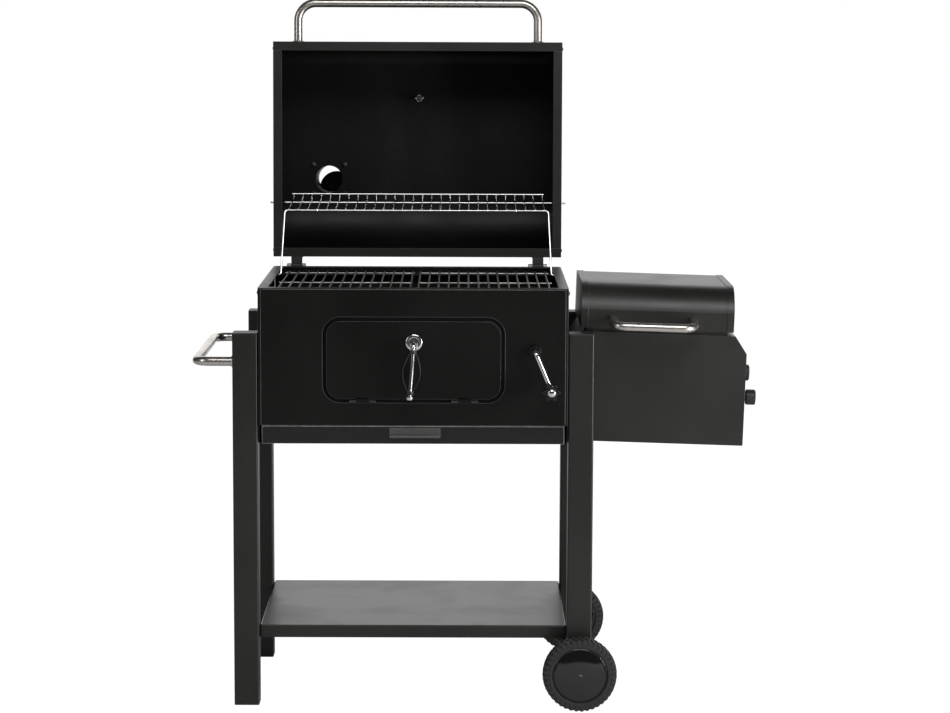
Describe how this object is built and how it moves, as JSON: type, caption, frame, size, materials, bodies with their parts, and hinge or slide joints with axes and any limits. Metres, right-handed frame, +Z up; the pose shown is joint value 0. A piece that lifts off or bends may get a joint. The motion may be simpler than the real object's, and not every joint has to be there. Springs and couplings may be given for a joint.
{
  "type": "offset smoker",
  "caption": "Charcoal grill and offset smoker on a wheeled leg frame, with a hinged lid, warming rack, charcoal door, ash drawer, crank-lifted tray and side firebox.",
  "frame": {"origin": "on the floor, under the middle of the whole object", "axes": "+X to the firebox side, +Y from the charcoal door to the back, +Z up"},
  "size_m": [1.1513, 0.9654, 1.4235],
  "materials": {
    "black_coat": "satin powder coat",
    "gloss_black": "glossy enamel",
    "steel": "brushed",
    "chrome_wire": "polished",
    "grate_wire": "dull plated",
    "plastic": "moulded",
    "tread": "moulded rubber"
  },
  "bodies": {
    "frame": {"leg_front_left": "black_coat", "leg_cap_front_left": "black_coat", "foot_front": "plastic", "leg_back_left": "black_coat", "leg_cap_back_left": "black_coat", "foot_back": "plastic", "leg_front_right": "black_coat", "leg_cap_front_right": "black_coat", "leg_back_right": "black_coat", "leg_cap_back_right": "black_coat", "bottom_shelf": "black_coat", "side_handle": "steel", "axle": "steel", "chamber_left": "black_coat", "chamber_right": "black_coat", "chamber_back": "black_coat", "front_panel": "black_coat", "chamber_rim": "black_coat", "door_frame": "black_coat", "grate_ledge_front": "black_coat", "grate_ledge_back": "black_coat", "door_hinge_left": "black_coat", "door_hinge_right": "black_coat", "crank_collar": "plastic", "lid_hinge_left": "steel", "lid_hinge_right": "steel", "firebox_shell": "black_coat", "fire_grate": "grate_wire", "firebox_hinge": "black_coat", "smoke_sleeve": "black_coat"},
    "wheel_front": {"tyre_front": "tread", "hub_front": "gloss_black"},
    "wheel_back": {"tyre_back": "tread", "hub_back": "gloss_black"},
    "grate_left": {"cooking_grate_left": "grate_wire"},
    "grate_right": {"cooking_grate_right": "grate_wire"},
    "door": {"charcoal_door": "black_coat"},
    "latch": {"door_handle": "chrome_wire", "handle_cage": "black_coat"},
    "crank": {"crank_rod": "chrome_wire"},
    "grip": {"crank_grip": "plastic"},
    "tray": {"charcoal_tray": "black_coat", "lift_bar": "grate_wire"},
    "drawer": {"ash_drawer": "gloss_black", "drawer_pull": "gloss_black"},
    "lid": {"lid_cover": "black_coat", "lid_side_left": "black_coat", "lid_side_right": "black_coat", "lid_rim": "black_coat", "lid_handle": "steel", "thermometer": "chrome_wire", "chimney": "black_coat", "lid_strap_left": "black_coat", "lid_strap_right": "black_coat"},
    "flue_cap": {"chimney_cap": "black_coat"},
    "rack": {"warming_rack": "chrome_wire"},
    "rack_link": {"rack_leg": "chrome_wire"},
    "firebox_cover": {"firebox_lid": "black_coat", "firebox_handle": "steel"},
    "damper": {"air_damper": "plastic"}
  },
  "joints": [
    {"name": "wheel_front_spin", "type": "hinge", "parent": "frame", "child": "wheel_front", "pos_m": [0.20452, -0.43278, 0.075], "axis": [0, 1, 0], "continuous": true},
    {"name": "wheel_back_spin", "type": "hinge", "parent": "frame", "child": "wheel_back", "pos_m": [0.20452, 0.10522, 0.075], "axis": [0, 1, 0], "continuous": true},
    {"name": "grate_left_lift", "type": "slide", "parent": "frame", "child": "grate_left", "axis": [0, 0, 1], "range_m": [0, 0.12]},
    {"name": "grate_right_lift", "type": "slide", "parent": "frame", "child": "grate_right", "axis": [0, 0, 1], "range_m": [0, 0.12]},
    {"name": "charcoal_door_hinge", "type": "hinge", "parent": "frame", "child": "door", "pos_m": [-0.13073, -0.40128, 0.6225], "axis": [1, 0, 0], "range_deg": [0, 90]},
    {"name": "door_latch_turn", "type": "hinge", "parent": "door", "child": "latch", "pos_m": [-0.13003, -0.39778, 0.742], "axis": [0, 1, 0], "range_deg": [-90, 90]},
    {"name": "crank_turn", "type": "hinge", "parent": "frame", "child": "crank", "pos_m": [0.11127, -0.39778, 0.726], "axis": [0, 1, 0], "range_deg": [-148, 148]},
    {"name": "crank_grip_spin", "type": "hinge", "parent": "crank", "child": "grip", "pos_m": [0.14279, -0.39778, 0.65138], "axis": [0, 1, 0], "continuous": true},
    {"name": "charcoal_tray_lift", "type": "slide", "parent": "frame", "child": "tray", "axis": [0, 0, 1], "range_m": [-0.0415, 0.0415]},
    {"name": "ash_drawer_slide", "type": "slide", "parent": "frame", "child": "drawer", "axis": [0, -1, 0], "range_m": [0, 0.35]},
    {"name": "lid_hinge", "type": "hinge", "parent": "frame", "child": "lid", "pos_m": [-0.13173, 0.08922, 0.8505], "axis": [-1, 0, 0], "range_deg": [-92.47, 0]},
    {"name": "chimney_cap_swivel", "type": "hinge", "parent": "lid", "child": "flue_cap", "pos_m": [-0.35989, 0.47553, 0.99082], "axis": [0, 0.9991, -0.0431], "range_deg": [-40, 50]},
    {"name": "rack_pivot", "type": "hinge", "parent": "lid", "child": "rack", "pos_m": [-0.13173, 0.14222, 0.9835], "axis": [-1, 0, 0], "range_deg": [0, 92.47]},
    {"name": "rack_leg_pivot", "type": "hinge", "parent": "frame", "child": "rack_link", "pos_m": [-0.13173, -0.0538, 0.8435], "axis": [-1, 0, 0], "range_deg": [-92.47, 0]},
    {"name": "firebox_lid_hinge", "type": "hinge", "parent": "frame", "child": "firebox_cover", "pos_m": [0.18751, -0.03978, 0.76469], "axis": [-0.9995, 0, 0.0305], "range_deg": [0, 92]},
    {"name": "air_damper_turn", "type": "hinge", "parent": "frame", "child": "damper", "pos_m": [0.5381, -0.19578, 0.65734], "axis": [0.9995, 0, -0.0305], "range_deg": [0, 60]}
  ],
  "couplings": [
    {"joint": "rack_pivot", "follows": "lid_hinge", "ratio": -1},
    {"joint": "rack_leg_pivot", "follows": "lid_hinge", "ratio": 1},
    {"joint": "charcoal_tray_lift", "follows": "crank_turn", "m_per_rad": 0.016}
  ]
}
